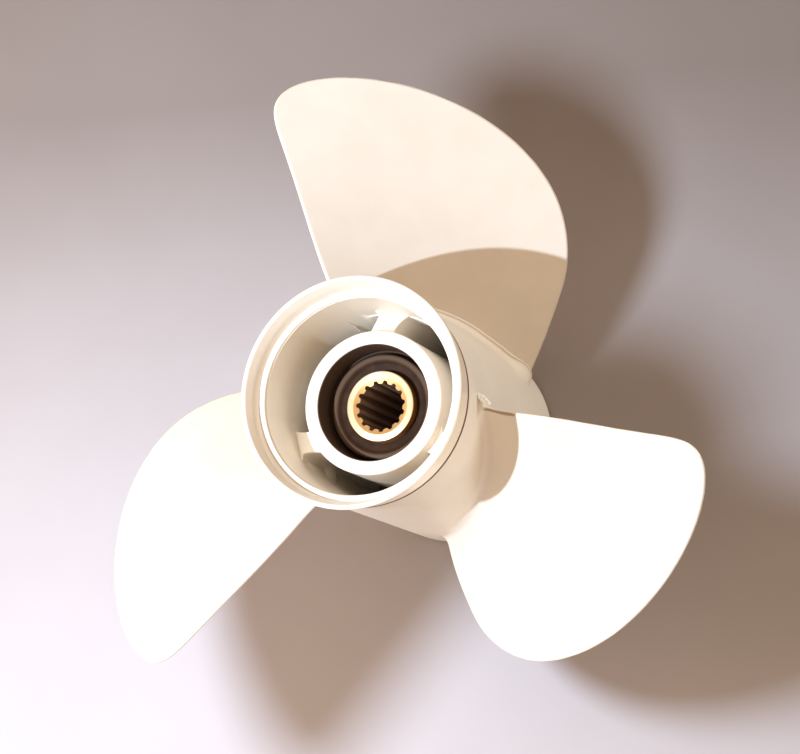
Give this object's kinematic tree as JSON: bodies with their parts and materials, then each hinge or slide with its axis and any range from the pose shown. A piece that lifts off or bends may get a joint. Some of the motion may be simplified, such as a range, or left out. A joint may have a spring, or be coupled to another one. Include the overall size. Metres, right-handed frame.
{
  "type": "outboard boat propeller",
  "caption": "Painted cast-aluminium boat propeller with raked blades, a flared through-hub exhaust barrel, rubber bush and splined brass sleeve.",
  "frame": {"origin": "on the propeller shaft's axis, in the plane of the hub's forward face, where the propeller stands", "axes": "+Z along the shaft towards the stern, +Y towards the middle of the first blade's root, +X completes the right-handed frame"},
  "size_m": [0.312, 0.3115, 0.153],
  "materials": {
    "cast_paint": "semi-gloss cream enamel over a cast surface",
    "bush_rubber": "moulded, satin",
    "sleeve_brass": "machined"
  },
  "bodies": {
    "root": {"flare_ring": "cast_paint", "hub_barrel": "cast_paint", "inner_hub": "cast_paint", "rib_1": "cast_paint", "rib_2": "cast_paint", "rib_3": "cast_paint", "rubber_bush": "bush_rubber", "spline_sleeve": "sleeve_brass", "blade_1": "cast_paint", "blade_2": "cast_paint", "blade_3": "cast_paint"}
  },
  "joints": []
}
